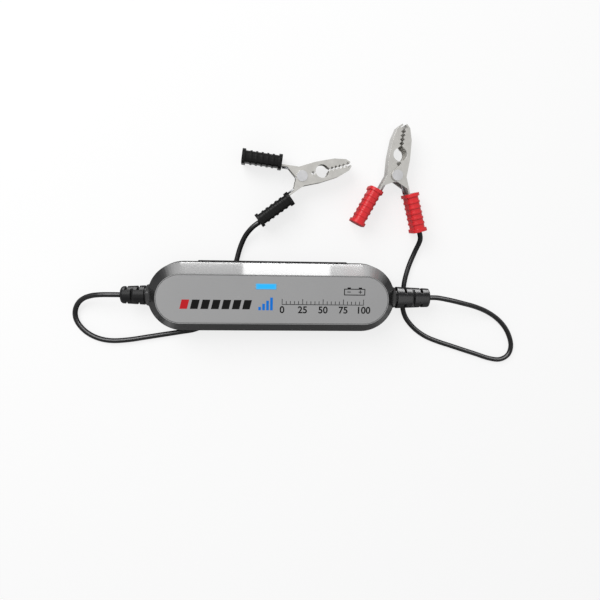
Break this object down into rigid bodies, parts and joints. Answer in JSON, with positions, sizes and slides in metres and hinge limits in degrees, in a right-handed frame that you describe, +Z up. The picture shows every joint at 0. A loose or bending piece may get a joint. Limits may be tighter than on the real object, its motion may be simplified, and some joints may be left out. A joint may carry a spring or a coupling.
{
  "type": "battery tester",
  "caption": "Slim round-ended battery tester with a lit face bar, slotted strain reliefs and short leads that end in sprung crocodile clips.",
  "frame": {"origin": "middle of the housing at bench level, under the four feet", "axes": "+X along the housing towards the positive lead, +Y across the face towards the clips, +Z up out of the lit face"},
  "size_m": [0.2285, 0.1198, 0.022],
  "materials": {
    "shell": "satin",
    "bezel": "gloss",
    "panel": "fine satin",
    "light": "frosted, lit blue",
    "grip_rubber": "matte",
    "screw": "zinc plated",
    "board": "solder mask",
    "can": "tinned",
    "chip": "moulded",
    "led": "clear",
    "ceramic": "ceramic",
    "can_black": "sleeved",
    "relief": "matte",
    "wire": "satin",
    "copper": "tinned copper",
    "sheet": "nickel plated",
    "pin": "plated",
    "spring": "drawn wire",
    "grip_black": "soft gloss",
    "grip_red": "soft gloss"
  },
  "bodies": {
    "tester": {"rear_shell": "shell", "front_bezel": "bezel", "face_panel": "panel", "light_bar": "light", "side_grips": "grip_rubber", "housing_screws": "screw", "circuit_board": "board", "board_screws": "screw", "radio_module": "board", "radio_can": "can", "measuring_chip": "chip", "crystal": "can", "status_led": "led", "load_resistors": "ceramic", "load_transistor": "chip", "input_capacitor": "can_black", "input_fuse": "ceramic", "regulator": "chip", "negative_strain_relief": "relief", "positive_strain_relief": "relief", "negative_inner_wire": "wire", "positive_inner_wire": "wire", "negative_conductor": "copper", "positive_conductor": "copper", "negative_lead": "wire", "positive_lead": "wire", "negative_clip_fixed_jaw": "sheet", "negative_clip_pin": "pin", "negative_clip_spring": "spring", "negative_clip_fixed_grip": "grip_black", "negative_clip_wire_end": "wire", "positive_clip_fixed_jaw": "sheet", "positive_clip_pin": "pin", "positive_clip_spring": "spring", "positive_clip_fixed_grip": "grip_red", "positive_clip_wire_end": "wire"},
    "negative_moving_jaw": {"negative_clip_moving_jaw": "sheet", "negative_clip_moving_grip": "grip_black"},
    "positive_moving_jaw": {"positive_clip_moving_jaw": "sheet", "positive_clip_moving_grip": "grip_red"}
  },
  "joints": [
    {"name": "negative_clip_hinge", "type": "hinge", "parent": "tester", "child": "negative_moving_jaw", "pos_m": [0.01312, 0.05835, 0.0065], "axis": [0, 0, 1], "range_deg": [0, 34], "stiffness_Nm_per_rad": 0.12, "springref_deg": -11.46, "deforming": ["negative_clip_spring"]},
    {"name": "positive_clip_hinge", "type": "hinge", "parent": "tester", "child": "positive_moving_jaw", "pos_m": [0.05934, 0.05999, 0.0065], "axis": [0, 0, 1], "range_deg": [0, 34], "stiffness_Nm_per_rad": 0.12, "springref_deg": -11.46, "deforming": ["positive_clip_spring"]}
  ]
}
